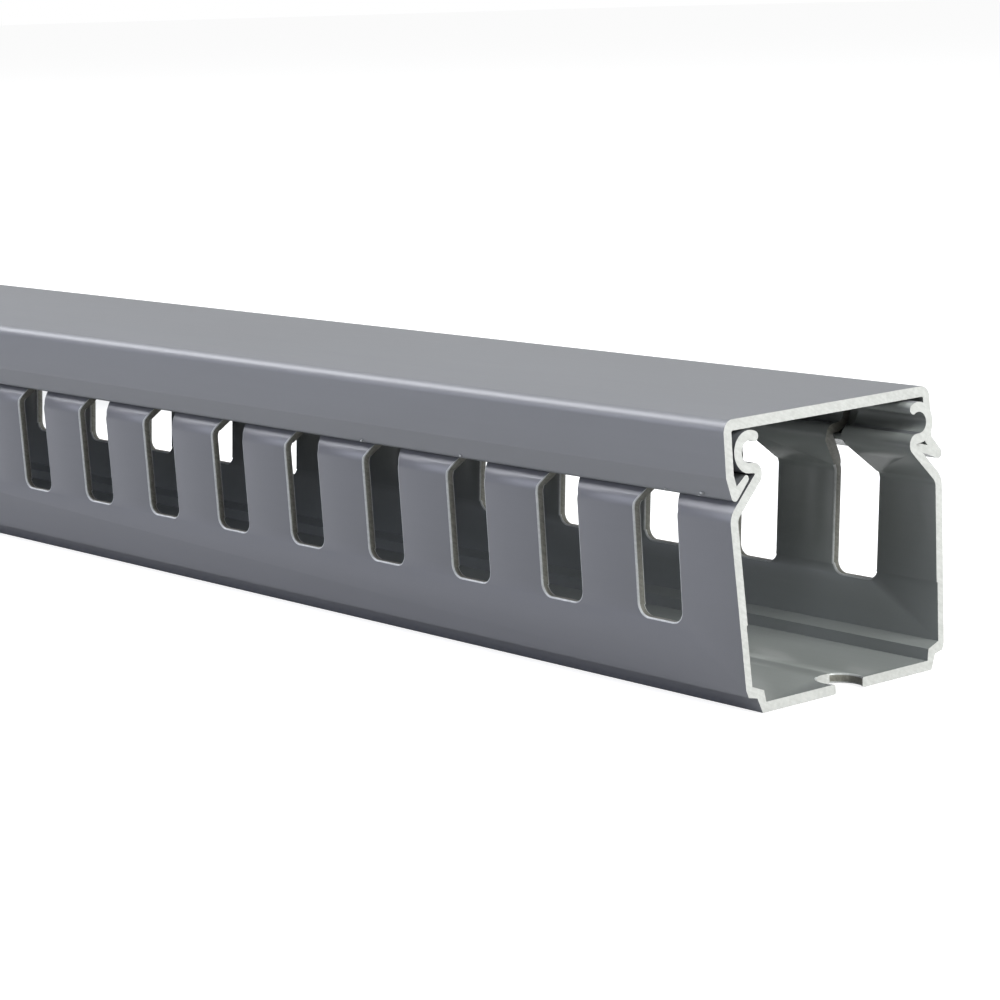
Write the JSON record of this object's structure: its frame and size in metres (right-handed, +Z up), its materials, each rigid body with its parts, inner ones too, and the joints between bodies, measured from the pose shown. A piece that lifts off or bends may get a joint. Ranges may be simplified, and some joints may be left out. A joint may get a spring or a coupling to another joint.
{
  "type": "slotted wire duct",
  "caption": "Grey rigid-PVC wiring duct with open-slotted side walls and a press-fit cover, for routing wires in panels and cabinets; sawn stock length.",
  "frame": {"origin": "underside of the floor, midway along the duct and midway between its walls; the box's middle lies 1 mm towards +Y of it, because the far skirt is sprung outward", "axes": "+X along the duct, towards its sawn front end; +Y across it, towards the wall whose cover skirt is sprung outward; +Z up, from floor to cover"},
  "size_m": [2, 0.0453, 0.04],
  "materials": {
    "duct_pvc": "grey rigid PVC, satin, bare extruded faces",
    "cover_pvc": "grey rigid PVC, satin, bare extruded faces"
  },
  "bodies": {
    "channel": {"duct": "duct_pvc"},
    "lid": {"cover": "cover_pvc"}
  },
  "joints": [
    {"name": "cover_slide", "type": "slide", "parent": "channel", "child": "lid", "axis": [1, 0, 0], "range_m": [-1, 1]}
  ]
}
